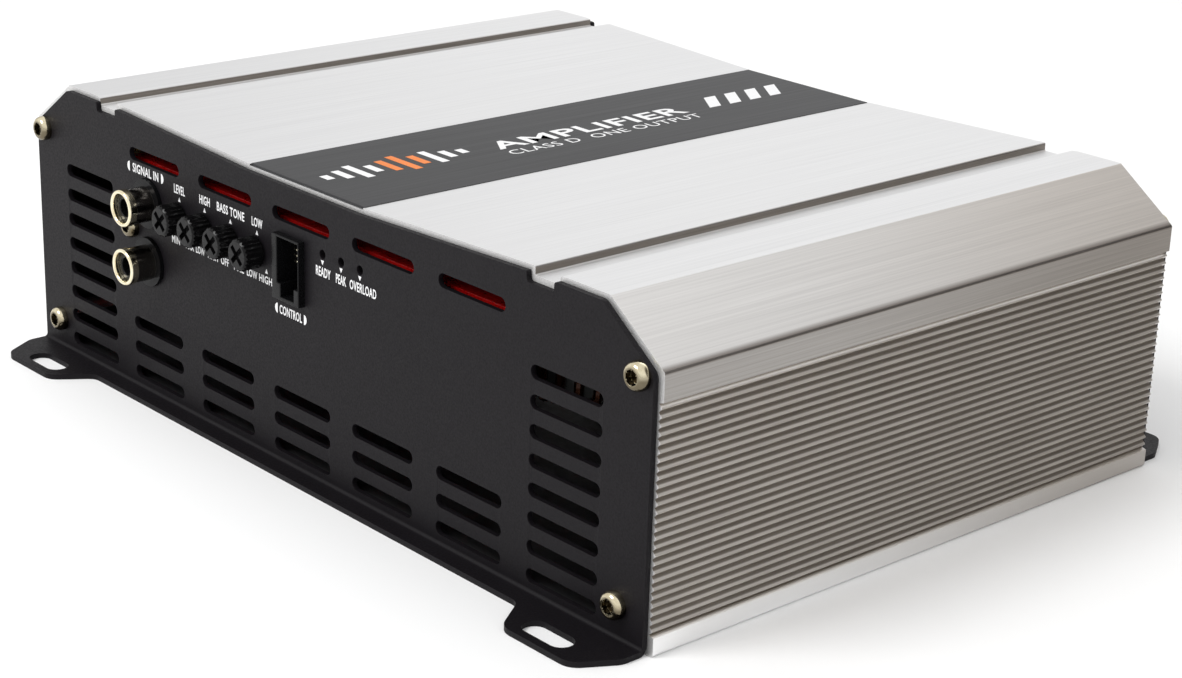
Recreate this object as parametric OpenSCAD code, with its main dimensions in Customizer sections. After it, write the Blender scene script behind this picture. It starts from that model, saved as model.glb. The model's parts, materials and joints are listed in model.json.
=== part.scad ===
// Compact single-channel car amplifier: an extruded aluminium heatsink closed by two sheet-steel end
// panels with mounting ears and by a bottom plate, with its board hung upside down inside.
// X runs along the front panel, Y from front to rear and Z up. The origin is under the
// middle of the whole object, on the surface that the ears are screwed to.

/* [Heatsink body] */
// Width across the smooth side bands
body_w = 212; // [210:0.5:214]
// Length of the extrusion, from end face to end face
body_d = 146.5; // [144:0.5:150]
// Height of the two long ridges on top
body_h = 65; // [64.5:0.1:66]
// Height of the shoulder between side and chamfer
shoulder_z = 54.7; // [54:0.1:56]
// Distance from each side in to the ridge's outer edge
chamfer_w = 14.6; // [13:0.1:16]
// Distance from the middle to the ridge's inner wall
ridge_in_x = 78.2; // [77.5:0.1:79]
// Distance from the middle to the deck's edge
deck_x = 71.3; // [70.5:0.1:72]
// Height of the floor of the two long grooves
groove_z = 63.2; // [62.8:0.1:64]
// Height of the deck beside the label plate
deck_low_z = 63.1; // [62.9:0.05:63.5]
// Number of cooling ribs on each side
rib_count = 27; // [20:1:27]
// Height from one rib to the next
rib_pitch = 1.65; // [1.5:0.01:1.65]
// Thickness of the side walls at the bottom of the ribs
wall_t = 4.85; // [4.5:0.05:5.2]

/* [Label plate] */
// Width of the label plate across the deck
label_w = 39; // [30:0.5:42]
// Thickness of the label plate
label_t = 0.45; // [0.3:0.05:0.6]

/* [End panels] */
// Thickness of the sheet steel
sheet_t = 1.2; // [1:0.1:1.4]
// How far the panel's sides stay inside the body's sides
panel_side_inset = 1.5; // [1:0.1:2]
// How far the panel's top stays below the body's top
panel_top_inset = 1.0; // [0.8:0.1:1.4]
// How far the narrow bottom flange reaches out
flange_reach = 5.75; // [5:0.25:6.5]
// How far the mounting ears reach out
ear_reach = 14.45; // [14:0.25:16]
// Distance from the middle to the centre of each ear slot
ear_slot_x = 88.75; // [88:0.25:90]
// Distance from the end face out to the centre of each ear slot
ear_slot_out = 9.9; // [9:0.1:10.2]
// Length of an ear slot
ear_slot_l = 12.4; // [10:0.1:12.8]
// Width of an ear slot
ear_slot_w = 5.2; // [4.5:0.1:5.5]

/* [Vent slots] */
// Length of one vent slot
vent_l = 19.8; // [16:0.1:21]
// Height of one vent slot
vent_h = 2.9; // [2:0.1:3.2]
// Distance from one column of slots to the next
vent_pitch_x = 27.34; // [27:0.02:27.6]
// Distance from one row of slots to the next
vent_pitch_z = 5.83; // [5.6:0.01:5.9]
// Height of the lowest row's centre line
vent_z0 = 4.6; // [4.4:0.1:5]
// Height of the single upper row's centre line
vent_top_z = 55.6; // [55.4:0.1:56]

/* [Front controls] */
// Distance from one knob to the next
knob_pitch = 9.77; // [9.7:0.01:10]
// Position of the first knob along the panel
knob_x0 = -45.1; // [-45.4:0.1:-44.8]
// Height of the knobs' axes
knob_z = 45.3; // [45:0.1:45.6]
// Diameter of a knob over its knurling
knob_d = 6.9; // [6:0.1:7.2]
// How far the knobs' faces stand out from the body's end face
knob_reach = 6.2; // [5.5:0.1:7]
// Clearance on radius between a control's shaft and its bushing
shaft_play = 0.05; // [0.03:0.01:0.08]

/* [Line input jacks] */
// Position of both jacks along the panel
rca_x = -57.3; // [-57.8:0.1:-57]
// Height of the lower jack's axis
rca_low_z = 32.2; // [32:0.1:32.6]
// Distance between the two jacks
rca_pitch = 13.4; // [13.2:0.1:13.6]
// Outer diameter of the contact shell
rca_shell_d = 8.3; // [8.1:0.05:8.4]
// How far the shells stand out from the body's end face
rca_reach = 8.5; // [8:0.1:9]

/* [Hidden] */

$fn = 48;

// Body section
half_w = body_w / 2;
front_y = -body_d / 2;                 // front end face of the extrusion
rear_y = body_d / 2;                   // rear end face of the extrusion
ridge_out_x = half_w - chamfer_w;
corner_r = 0.8;
edge_r = 0.4;
label_x = label_w / 2;
label_floor_z = deck_low_z - label_t + 0.1;
rib_z0 = 4.25;                         // foot of the lowest rib
rib_top_z = rib_z0 + rib_count * rib_pitch;
rib_valley_x = half_w - 1.15;
rib_tip_x = half_w - 0.35;
ridge_dip_w = 1.9;                     // strip beside each groove that dips towards it
ridge_dip = 0.18;

// Cavity section
wall_in_x = rib_valley_x - wall_t;
shelf_z = 50.3;                        // above this the wall is thicker, for the screw ports
upper_in_x = half_w - 7.5;
roof_z = 59.6;
roof_corner = 3;
cover_groove_z = 0.9;
cover_groove_h = 1.4;
cover_groove_d = 1.4;
cover_t = 1.2;

// Screw ports in the extrusion: two per side
port_pos = [[half_w - 5, 53.1], [half_w - 8.9, 7.75]];
port_r = 1.3;
port_boss_r = 3.2;
port_web = [4.5, 5];                   // height of the web that ties the lower port to the wall

// End panels
panel_x = half_w - panel_side_inset;
bend_out_r = 2;
bend_in_r = 0.8;
bend_size = 2.6;
ear_in_x = 75.2;                       // where the ear leaves the flange
ear_front_in_x = 81;
ear_front_out_x = 99.6;
ear_shoulder = 6;
screw_hole_r = 1.7;

// Vent slots
vent_side_column = 3;
vent_side_rows = 8;
vent_middle_rows = 3;

// Board
board_under_z = 52;
board_t = 1.6;
board_x = half_w - 7.9;
board_gap_y = 2.2;                     // from each end face
board_screw_pos = [[-84, -62], [84, -62], [-84, 62], [84, 62], [0, -8], [30, 52]];

// Knobs and controls
knob_x = [for (i = [0:3]) knob_x0 + i * knob_pitch];
knob_l = knob_reach - sheet_t - 0.35;
knob_teeth = 22;
knob_tooth_h = 0.28;
knob_bevel_r = knob_d / 2 + 0.1;
knob_slot_l = 4.8;
knob_slot_w = 1.15;
shaft_r = 2;
shaft_in = 6;                          // how far the shaft runs in behind the end face
control_w = 9.3;
control_d = 7.2;
control_low = 5.2;

// Line input jacks
rca_z = [rca_low_z, rca_low_z + rca_pitch];
rca_shell_r = rca_shell_d / 2;
rca_collar_r = 5.5;
rca_collar_out = 2.1;
rca_barrel_r = 3.95;
rca_ring_l = 2;
rca_bore_r = 3.2;
rca_recess = 1.3;                      // from the ring's mouth in to the insulator
rca_tube_r = 3.6;
rca_pin_r = 1.6;                       // takes a 3.2 mm plug pin
rca_screw_x = rca_x - 7;
rca_housing_d = 15;

// Remote-level jack
jack_x = [-8.1, 1.3];
jack_z = [37.75, 51.75];
jack_out = 2.8;
jack_d = 15;
jack_open_x = [-6.3, 0.95];
jack_open_z = [41.4, 51.2];
jack_notch_x = [-5.1, -0.4];
jack_notch_z = 38.6;
jack_depth = 12;
jack_contact_pitch = 1.27;

// Status lights
led_x = [7.55, 13.8, 20.05];
led_z = 50.7;
led_hole_r = 1;

// Heat-making parts along the side walls
transistor_y = [-38, -14, 10, 34];
transistor_w = 10;
transistor_t = 4.4;
transistor_z = [24, 40];
leg_pitch = 2.54;
pad_t = 0.3;
clamp_t = 3;
clamp_z = [32.5, 38.5];
clamp_screw_z = (clamp_z[0] + clamp_z[1]) / 2;
clamp_screw_y = [-26, 22];
clamp_screw_r = 1.5;
clamp_in_x = wall_in_x - pad_t - transistor_t - clamp_t;

// Wound parts
transformer_pos = [57, -46];
transformer_core_r = [9.5, 17];
transformer_core_z = [34.6, 49.6];
winding_t = 2.4;
choke_pos = [[-60, 40], [-34, 40]];
choke_core_r = [4.5, 9];
choke_core_z = [42.4, 50.4];
choke_winding_t = 1.6;
core_edge = 0.8;
core_play = 0.05;                      // between a core and its winding

// Capacitors
can_r = 9;
can_h = 34;
can_pos = [[-11, 27], [10, 27], [-11, 48], [10, 48]];
film_pos = [[-48, -54], [-39, -54], [-30, -54], [-21, -54], [-48, -45], [-21, -45]];
film_size = [6.8, 4.4, 9];
chip_pos = [[-40, -34], [-26, -34], [-8, -38], [8, -52], [22, -38]];
chip_size = [7, 10, 3.4];

// Rear connectors
power_x = [22, 64];
power_ports = [30, 43, 56];
power_port_r = 3.4;                    // takes 8 mm2 cable
speaker_x = [-66, -22];
speaker_ports = [-60.5, -49.5, -38.5, -27.5];
speaker_port_r = 2.4;                  // takes 4 mm2 cable
terminal_z = [27, 50.5];
terminal_lip = 1.2;
terminal_lip_t = 1.5;
terminal_seam = 0.1;                   // between one moulding and the next
terminal_out = 13;
terminal_in = 12;
terminal_screw_out = 8.5;
sleeve_t = 1.15;                       // wall of a port's metal sleeve
sleeve_play = 0.05;
port_z = 36;
fuse_x = [-8, 8];
fuse_holder_x = [-15.5, 15.5];
fuse_z = [30, 49];
fuse_holder_out = 2.5;
fuse_out = 10.5;
fuse_blade_z = [33.2, 41.8];           // foot of each of a fuse's two blades
fuse_blade = [0.8, 5];                 // thickness and width of a blade

// A list of points with each corner [x, y, r] rounded to its radius r
function fillet(a, b, c, r, n = 5) =
    r <= 0 ? [b] :
    let (u = (a - b) / norm(a - b),
         v = (c - b) / norm(c - b),
         half = acos(u * v) / 2,
         centre = b + (u + v) / norm(u + v) * r / sin(half),
         start = b + u * r / tan(half) - centre,
         stop = b + v * r / tan(half) - centre,
         a0 = atan2(start[1], start[0]),
         turn = atan2(stop[1], stop[0]) - a0,
         sweep = turn > 180 ? turn - 360 : turn < -180 ? turn + 360 : turn)
    [for (i = [0:n]) centre + r * [cos(a0 + sweep * i / n), sin(a0 + sweep * i / n)]];

function rounded(corners) =
    let (n = len(corners))
    [for (i = [0:n - 1])
        let (a = corners[(i + n - 1) % n], b = corners[i], c = corners[(i + 1) % n])
        each fillet([a[0], a[1]], [b[0], b[1]], [c[0], c[1]], b[2])];

// A right half followed by its mirror image, as one closed outline
function both_sides(half) =
    concat(half, [for (i = [len(half) - 1:-1:0]) [-half[i][0], half[i][1], half[i][2]]]);

// Extrudes a drawing made in X and Z from one Y to another
module along_y(y0, y1) {
    translate([0, y1, 0]) rotate([90, 0, 0]) linear_extrude(y1 - y0) children();
}

// Extrudes a drawing made in Y and Z from one X to another
module along_x(x0, x1) {
    translate([x0, 0, 0]) rotate([90, 0, 90]) linear_extrude(x1 - x0) children();
}

// A box between two opposite corners
module block(low, high) {
    translate(low) cube(high - low);
}

// A round bar along Y at a place in X and Z
module bar_y(r, x, z, y0, y1) {
    along_y(y0, y1) translate([x, z]) circle(r);
}

// A slot with round ends, centred, along X
module slot(l, w) {
    square([l - w, w], center = true);
    for (s = [-1, 1]) translate([s * (l - w) / 2, 0]) circle(w / 2);
}

// A star-shaped driver recess, its mouth at the origin, going down
module star_recess(r, depth) {
    translate([0, 0, -depth])
        for (a = [0, 60, 120])
            rotate([0, 0, a]) translate([-r, -r * 0.42, 0]) cube([2 * r, r * 0.84, depth + 1]);
}

// A pan-head screw: its head stands on z = 0 and its shank goes down
module pan_screw(head_r, head_h, shank_r, shank_l) {
    difference() {
        union() {
            rotate_extrude() polygon(concat(
                [[0, 0], [head_r, 0]],
                [for (a = [0:10:90]) [head_r * (0.62 + 0.38 * cos(a)), head_h * (0.35 + 0.65 * sin(a))]],
                [[0, head_h]]));
            translate([0, 0, -shank_l]) cylinder(r = shank_r, h = shank_l + 0.1);
        }
        translate([0, 0, head_h]) star_recess(head_r * 0.52, head_h * 0.6);
    }
}

// ---------------------------------------------------------------- casing

// Pointed ribs from the foot up: a valley and a tip for each
function rib_corners() = [for (i = [0:rib_count - 1])
    let (z = rib_z0 + i * rib_pitch)
    each [[rib_valley_x, z, 0], [rib_tip_x, z + rib_pitch / 2, 0]]];

module body_outline() {
    polygon(rounded(both_sides(concat(
        [[half_w, 0, corner_r], [half_w, rib_z0 - 0.35, 0]],
        rib_corners(),
        [[rib_valley_x, rib_top_z, 0],
         [half_w, rib_top_z + 0.35, 0],
         [half_w, shoulder_z, corner_r],
         [ridge_out_x, body_h, corner_r],
         [ridge_in_x + ridge_dip_w, body_h, 0],
         [ridge_in_x, body_h - ridge_dip, edge_r],
         [ridge_in_x, groove_z, edge_r],
         [deck_x, groove_z, edge_r],
         [deck_x, body_h, edge_r],
         [label_x, deck_low_z, 0],
         [label_x, label_floor_z, 0]]))));
}

module cavity_outline() {
    polygon(rounded(both_sides([
        [wall_in_x, -1, 0],
        [wall_in_x, cover_groove_z, 0],
        [wall_in_x + cover_groove_d, cover_groove_z, 0],
        [wall_in_x + cover_groove_d, cover_groove_z + cover_groove_h, 0],
        [wall_in_x, cover_groove_z + cover_groove_h, 0],
        [wall_in_x, shelf_z, edge_r],
        [upper_in_x, shelf_z, edge_r],
        [upper_in_x, roof_z - roof_corner, 1],
        [upper_in_x - roof_corner, roof_z, 1]])));
}

module heatsink_body() color("lightgray") {
    difference() {
        along_y(front_y, rear_y) {
            difference() {
                body_outline();
                cavity_outline();
            }
            for (s = [-1, 1]) translate([s * port_pos[1][0], port_pos[1][1]]) {
                circle(port_boss_r);
                translate([s > 0 ? 0 : -port_web[0], -port_web[1] / 2]) square(port_web);
            }
        }
        for (s = [-1, 1], p = port_pos) bar_y(port_r, s * p[0], p[1], front_y - 1, rear_y + 1);
        for (s = [-1, 1], y = clamp_screw_y)
            translate([s * (wall_in_x - 1), y, clamp_screw_z])
                rotate([0, s * 90, 0]) cylinder(r = clamp_screw_r, h = 4.5);
        for (p = board_screw_pos)
            translate([p[0], p[1], roof_z - 1]) cylinder(r = 1.5, h = 3);
    }
}

module bottom_cover() color("dimgray")
    block([-wall_in_x - cover_groove_d + 0.2, front_y, cover_groove_z + 0.1],
          [wall_in_x + cover_groove_d - 0.2, rear_y, cover_groove_z + 0.1 + cover_t]);

module label_plate() color("dimgray")
    block([-label_x, front_y + 0.4, label_floor_z],
          [label_x, rear_y - 0.4, label_floor_z + label_t]);

// ---------------------------------------------------------------- end panels

module panel_outline() {
    top = body_h - panel_top_inset;
    middle = deck_low_z - panel_top_inset - 0.2;
    floor_z = groove_z - panel_top_inset - 0.2;
    polygon(rounded(both_sides([
        [panel_x, bend_size, 0],
        [panel_x, shoulder_z - 0.6, 2.5],
        [ridge_out_x - 0.7, top, 2],
        [ridge_in_x - 0.3, top, 0.6],
        [ridge_in_x - 0.4, floor_z, 0.4],
        [deck_x - panel_top_inset, floor_z, 0.8],
        [deck_x - panel_top_inset, top, 0.4],
        [label_x, middle, 0]])));
}

module flange_outline() {
    difference() {
        polygon(rounded(both_sides([
            [panel_x, -bend_size, 0],
            [panel_x, -ear_shoulder, 4],
            [ear_front_out_x, -ear_reach, 4],
            [ear_front_in_x, -ear_reach, 4],
            [ear_in_x, -flange_reach, 3]])));
        for (s = [-1, 1])
            translate([s * ear_slot_x, -ear_slot_out]) slot(ear_slot_l, ear_slot_w);
    }
}

module bend_outline() {
    polygon(rounded([
        [-bend_size, 0, 0], [0, 0, bend_out_r], [0, bend_size, 0],
        [-sheet_t, bend_size, 0], [-sheet_t, sheet_t, bend_in_r], [-bend_size, sheet_t, 0]]));
}

module vents() {
    for (c = [-vent_side_column:vent_side_column])
        for (r = [0:(abs(c) == vent_side_column ? vent_side_rows : vent_middle_rows) - 1])
            translate([c * vent_pitch_x, vent_z0 + r * vent_pitch_z]) slot(vent_l, vent_h);
    for (c = [1 - vent_side_column:vent_side_column - 1])
        translate([c * vent_pitch_x, vent_top_z]) slot(vent_l, vent_h);
}

// One end panel, drawn for an end face at Y = 0 with its flange towards -Y
module panel_blank() {
    along_y(-sheet_t, 0) difference() {
        panel_outline();
        vents();
        for (s = [-1, 1], p = port_pos) translate([s * p[0], p[1]]) circle(screw_hole_r);
        children();
    }
    along_x(-panel_x, panel_x) bend_outline();
    linear_extrude(sheet_t) flange_outline();
}

module front_panel() color("black")
    translate([0, front_y, 0]) panel_blank() {
        for (z = rca_z) translate([rca_x, z]) circle(rca_collar_r + 0.1);
        translate([rca_screw_x, (rca_z[0] + rca_z[1]) / 2]) circle(1.6);
        for (x = knob_x) translate([x, knob_z]) circle(shaft_r + 0.6);
        translate([jack_x[0], jack_z[0]]) square([jack_x[1] - jack_x[0], jack_z[1] - jack_z[0]]);
        for (x = led_x) translate([x, led_z]) circle(led_hole_r);
    }

module rear_panel() color("black")
    translate([0, rear_y, 0]) mirror([0, 1, 0]) panel_blank() {
        for (b = [power_x, speaker_x])
            translate([b[0] + 1, terminal_z[0] + 1])
                square([b[1] - b[0] - 2, terminal_z[1] - terminal_z[0] - 2]);
        translate([fuse_holder_x[0] + 1, fuse_z[0] + 1])
            square([fuse_holder_x[1] - fuse_holder_x[0] - 2, fuse_z[1] - fuse_z[0] - 2]);
    }

module panel_screw() pan_screw(head_r = 2.8, head_h = 2.1, shank_r = 1.25, shank_l = 8);

module front_panel_screws() color("gold")
    for (s = [-1, 1], p = port_pos)
        translate([s * p[0], front_y - sheet_t, p[1]]) rotate([90, 0, 0]) panel_screw();

module rear_panel_screws() color("gold")
    for (s = [-1, 1], p = port_pos)
        translate([s * p[0], rear_y + sheet_t, p[1]]) rotate([-90, 0, 0]) panel_screw();

// ---------------------------------------------------------------- knobs and controls

// A knurled knob, moulded with its shaft: its face at z = 0, its shaft down
module knob() {
    difference() {
        intersection() {
            translate([0, 0, -knob_l]) linear_extrude(knob_l)
                polygon([for (i = [0:2 * knob_teeth - 1])
                    let (r = knob_d / 2 - (i % 2) * knob_tooth_h, a = 180 * i / knob_teeth)
                    r * [cos(a), sin(a)]]);
            translate([0, 0, -knob_l - 1]) rotate_extrude()
                polygon([[0, 0], [knob_bevel_r, 0], [knob_bevel_r, knob_l + 0.4],
                         [knob_bevel_r - 0.6, knob_l + 1], [0, knob_l + 1]]);
        }
        for (a = [45, 135]) rotate([0, 0, a])
            translate([-knob_slot_l / 2, -knob_slot_w / 2, -1]) cube([knob_slot_l, knob_slot_w, 2]);
    }
    translate([0, 0, -knob_reach - shaft_in])
        cylinder(r = shaft_r, h = knob_reach + shaft_in - knob_l + 0.5);
}

module knob_at(x) color("black")
    translate([x, front_y - knob_reach, knob_z]) rotate([90, 0, 0]) knob();

// A rotary control that hangs from the board behind the panel
module control_at(x) color("darkslategray") {
    difference() {
        union() {
            block([x - control_w / 2, front_y + 0.6, knob_z - control_low],
                  [x + control_w / 2, front_y + control_d, board_under_z]);
            bar_y(3.4, x, knob_z, front_y + 0.1, front_y + 1);
        }
        bar_y(shaft_r + shaft_play, x, knob_z, front_y - 1, front_y + shaft_in + 0.3);
    }
}

module gain_knob() knob_at(knob_x[0]);
module high_pass_knob() knob_at(knob_x[1]);
module bass_boost_knob() knob_at(knob_x[2]);
module low_pass_knob() knob_at(knob_x[3]);
module gain_control() control_at(knob_x[0]);
module high_pass_control() control_at(knob_x[1]);
module bass_boost_control() control_at(knob_x[2]);
module low_pass_control() control_at(knob_x[3]);

// ---------------------------------------------------------------- line input jacks

module rca_jack_housing() color("black") {
    screw_z = (rca_z[0] + rca_z[1]) / 2;
    difference() {
        union() {
            block([rca_x - 6.3, front_y, rca_z[0] - 6.5],
                  [rca_x + 6.3, front_y + rca_housing_d, board_under_z]);
            block([rca_screw_x - 3.2, front_y, screw_z - 3.6], [rca_x, front_y + 8, screw_z + 3.6]);
            for (z = rca_z) {
                bar_y(rca_collar_r, rca_x, z, front_y - rca_collar_out, front_y + 0.1);
                bar_y(rca_barrel_r, rca_x, z, front_y - rca_reach + rca_ring_l, front_y);
            }
        }
        for (z = rca_z)
            bar_y(rca_tube_r, rca_x, z, front_y - rca_reach, front_y + 5);
        bar_y(1.25, rca_screw_x, screw_z, front_y - 1, front_y + 7);
    }
}

module rca_shells() color("gold")
    for (z = rca_z) translate([rca_x, front_y - rca_reach, z]) rotate([-90, 0, 0])
        rotate_extrude() polygon([
            [rca_bore_r, 0.25], [rca_bore_r + 0.25, 0], [rca_shell_r - 0.25, 0], [rca_shell_r, 0.25],
            [rca_shell_r, rca_ring_l], [rca_tube_r, rca_ring_l], [rca_tube_r, rca_reach + 5],
            [rca_bore_r, rca_reach + 5]]);

module rca_insulators() color("black")
    for (z = rca_z) difference() {
        bar_y(rca_bore_r, rca_x, z, front_y - rca_reach + rca_recess, front_y + 4);
        bar_y(rca_pin_r + 0.4, rca_x, z, front_y - rca_reach, front_y + 5);
    }

module rca_centre_contacts() color("gold")
    for (z = rca_z) difference() {
        bar_y(rca_pin_r + 0.4, rca_x, z, front_y - 3.8, front_y + 5);
        bar_y(rca_pin_r, rca_x, z, front_y - 5, front_y + 4);
    }

module rca_jack_screw() color("gold")
    translate([rca_screw_x, front_y - sheet_t, (rca_z[0] + rca_z[1]) / 2])
        rotate([90, 0, 0]) pan_screw(head_r = 2.75, head_h = 1.9, shank_r = 1.2, shank_l = 6);

// ---------------------------------------------------------------- remote jack and lights

module remote_jack() color("black") {
    difference() {
        block([jack_x[0], front_y - jack_out, jack_z[0]], [jack_x[1], front_y + jack_d, jack_z[1]]);
        block([jack_open_x[0], front_y - jack_out - 1, jack_open_z[0]],
              [jack_open_x[1], front_y + jack_depth, jack_open_z[1]]);
        block([jack_notch_x[0], front_y - jack_out - 1, jack_notch_z],
              [jack_notch_x[1], front_y + jack_depth, jack_open_z[0] + 1]);
    }
}

module remote_jack_contacts() color("gold")
    for (i = [0:3])
        let (z = jack_open_z[1] - 2.6 - i * jack_contact_pitch)
        block([jack_open_x[0], front_y + 2, z], [jack_open_x[0] + 0.5, front_y + jack_depth, z + 0.5]);

module status_leds() color("darkred")
    for (x = led_x) {
        bar_y(led_hole_r - 0.08, x, led_z, front_y + 0.2, front_y + 2);
        block([x - 1.5, front_y + 1.8, led_z - 1.3], [x + 1.5, front_y + 4.6, board_under_z]);
    }

// ---------------------------------------------------------------- board

module main_board() color("firebrick")
    difference() {
        block([-board_x, front_y + board_gap_y, board_under_z],
              [board_x, rear_y - board_gap_y, board_under_z + board_t]);
        for (p = board_screw_pos) translate([p[0], p[1], board_under_z - 1]) cylinder(r = 1.6, h = 4);
    }

module board_standoffs() color("silver")
    for (p = board_screw_pos) translate([p[0], p[1], board_under_z + board_t]) difference() {
        union() {
            cylinder(r = 3, h = roof_z - board_under_z - board_t, $fn = 6);
            cylinder(r = 1.5, h = roof_z - board_under_z - board_t + 1.8);
        }
        translate([0, 0, -1]) cylinder(r = 1.25, h = 5.5);
    }

module board_screws() color("silver")
    for (p = board_screw_pos)
        translate([p[0], p[1], board_under_z]) rotate([180, 0, 0])
            pan_screw(head_r = 2.7, head_h = 1.9, shank_r = 1.2, shank_l = 5.5);

// ---------------------------------------------------------------- wound parts

// A ring of square section with rounded edges, around Z
module ring(r, z, edge) {
    rotate_extrude() polygon(rounded([
        [r[0], z[0], edge], [r[1], z[0], edge], [r[1], z[1], edge], [r[0], z[1], edge]]));
}

// A winding that wraps a ring core all over, with the core's space left hollow
module winding(core_r, core_z, t) {
    difference() {
        ring([core_r[0] - t, core_r[1] + t], [core_z[0] - t, core_z[1] + t], t);
        ring(core_r + [-core_play, core_play], core_z + [-core_play, core_play], core_edge);
    }
}

module transformer_core() color("darkslategray")
    translate(transformer_pos) ring(transformer_core_r, transformer_core_z, core_edge);

module transformer_winding() color("chocolate")
    translate(transformer_pos) winding(transformer_core_r, transformer_core_z, winding_t);

module output_choke_cores() color("goldenrod")
    for (p = choke_pos) translate(p) ring(choke_core_r, choke_core_z, core_edge);

module output_choke_windings() color("chocolate")
    for (p = choke_pos) translate(p) winding(choke_core_r, choke_core_z, choke_winding_t);

// ---------------------------------------------------------------- capacitors and chips

module power_capacitors() color("midnightblue")
    for (p = can_pos) translate([p[0], p[1], board_under_z - can_h])
        rotate_extrude() polygon([
            [0, 0.4], [can_r - 1.6, 0.4], [can_r - 1.2, 0], [can_r - 0.6, 0], [can_r, 0.7],
            [can_r, can_h - 3.6], [can_r - 0.7, can_h - 3], [can_r - 0.7, can_h - 2.4],
            [can_r, can_h - 1.8], [can_r, can_h], [0, can_h]]);

module film_capacitors() color("maroon")
    for (p = film_pos)
        translate([p[0] - film_size[0] / 2, p[1] - film_size[1] / 2, board_under_z - film_size[2]])
            cube(film_size);

module preamp_chips() color("black")
    for (p = chip_pos)
        translate([p[0] - chip_size[0] / 2, p[1] - chip_size[1] / 2, board_under_z - chip_size[2]])
            cube(chip_size);

// ---------------------------------------------------------------- power devices

// A power transistor with its back on a wall at X = 0 and its legs up to the board
module transistor() {
    mid = (transistor_z[0] + transistor_z[1]) / 2;
    block([-1.3, -transistor_w / 2, transistor_z[0]], [0, transistor_w / 2, transistor_z[1] - 1]);
    block([-transistor_t, -transistor_w / 2, mid - 1], [0, transistor_w / 2, transistor_z[1]]);
    for (i = [-1:1])
        block([-3, i * leg_pitch - 0.4, transistor_z[1] - 0.5], [-2.4, i * leg_pitch + 0.4, board_under_z]);
}

module transistor_row()
    for (y = transistor_y) translate([wall_in_x - pad_t, y, 0]) transistor();

module right_transistors() color("black") transistor_row();
module left_transistors() color("black") mirror([1, 0, 0]) transistor_row();

module thermal_pads() color("lightpink")
    for (s = [-1, 1], y = transistor_y)
        translate([s * (wall_in_x - pad_t / 2), y, (transistor_z[0] + transistor_z[1]) / 2])
            cube([pad_t, transistor_w + 2, transistor_z[1] - transistor_z[0] + 1], center = true);

module clamp_bar() {
    difference() {
        block([clamp_in_x, transistor_y[0] - 7, clamp_z[0]],
              [clamp_in_x + clamp_t, transistor_y[3] + 7, clamp_z[1]]);
        for (y = clamp_screw_y)
            translate([clamp_in_x - 1, y, clamp_screw_z]) rotate([0, 90, 0])
                cylinder(r = clamp_screw_r + 0.1, h = clamp_t + 2);
    }
}

module right_clamp_bar() color("silver") clamp_bar();
module left_clamp_bar() color("silver") mirror([1, 0, 0]) clamp_bar();

module clamp_screws() color("silver")
    for (s = [-1, 1], y = clamp_screw_y)
        translate([s * clamp_in_x, y, clamp_screw_z]) rotate([0, -s * 90, 0])
            pan_screw(head_r = 2.8, head_h = 2, shank_r = 1.4, shank_l = wall_in_x - clamp_in_x + 3);

// ---------------------------------------------------------------- rear connectors

// One moulding of a terminal block: a cable port that faces the rear, under a screw well. lips gives
// how far its lip stands out on the left and on the right.
module terminal_moulding(x, lips, port, port_r) {
    y_in = rear_y - terminal_in;
    y_out = rear_y + sheet_t + terminal_out;
    difference() {
        union() {
            block([x[0], y_in, terminal_z[0] + terminal_lip], [x[1], y_out, terminal_z[1] - terminal_lip]);
            block([x[0] - lips[0], rear_y + sheet_t, terminal_z[0]],
                  [x[1] + lips[1], rear_y + sheet_t + terminal_lip_t, terminal_z[1]]);
            block([x[0] + lips[0], y_in, terminal_z[0] + 3], [x[1] - lips[1], rear_y - 2, board_under_z]);
        }
        bar_y(port_r + sleeve_t + sleeve_play, port, port_z, rear_y - 6, y_out + 1);
        translate([port, rear_y + terminal_screw_out, port_z]) cylinder(r = 3, h = 20);
    }
}

// A terminal block: one moulding for each port, side by side
module terminal_block(x, ports, port_r) {
    last = len(ports) - 1;
    for (i = [0:last])
        terminal_moulding(
            [i == 0 ? x[0] + terminal_lip : (ports[i - 1] + ports[i] + terminal_seam) / 2,
             i == last ? x[1] - terminal_lip : (ports[i] + ports[i + 1] - terminal_seam) / 2],
            [i == 0 ? terminal_lip : 0, i == last ? terminal_lip : 0],
            ports[i], port_r);
}

// The metal sleeve of one cable port, with its screw hole on top
module terminal_clamp(p, port_r) {
    difference() {
        bar_y(port_r + sleeve_t, p, port_z, rear_y - 6, rear_y + sheet_t + terminal_out - 1);
        bar_y(port_r, p, port_z, rear_y - 5, rear_y + sheet_t + terminal_out);
        translate([p, rear_y + terminal_screw_out, port_z]) cylinder(r = 1.6, h = 10);
    }
}

module terminal_screw(p, port_r) {
    translate([p, rear_y + terminal_screw_out, port_z + port_r + 0.2]) difference() {
        union() {
            cylinder(r = 1.5, h = 4);
            translate([0, 0, 2.6]) cylinder(r = 2.7, h = 3);
        }
        translate([0, 0, 4.2]) cylinder(r = 1.4, h = 3, $fn = 6);
    }
}

module power_terminal_block() color("black") terminal_block(power_x, power_ports, power_port_r);
module speaker_terminal_block() color("black") terminal_block(speaker_x, speaker_ports, speaker_port_r);

module power_terminal_clamps() color("gold")
    for (p = power_ports) terminal_clamp(p, power_port_r);

module speaker_terminal_clamps() color("gold")
    for (p = speaker_ports) terminal_clamp(p, speaker_port_r);

module power_terminal_screws() color("silver")
    for (p = power_ports) terminal_screw(p, power_port_r);

module speaker_terminal_screws() color("silver")
    for (p = speaker_ports) terminal_screw(p, speaker_port_r);

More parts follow.
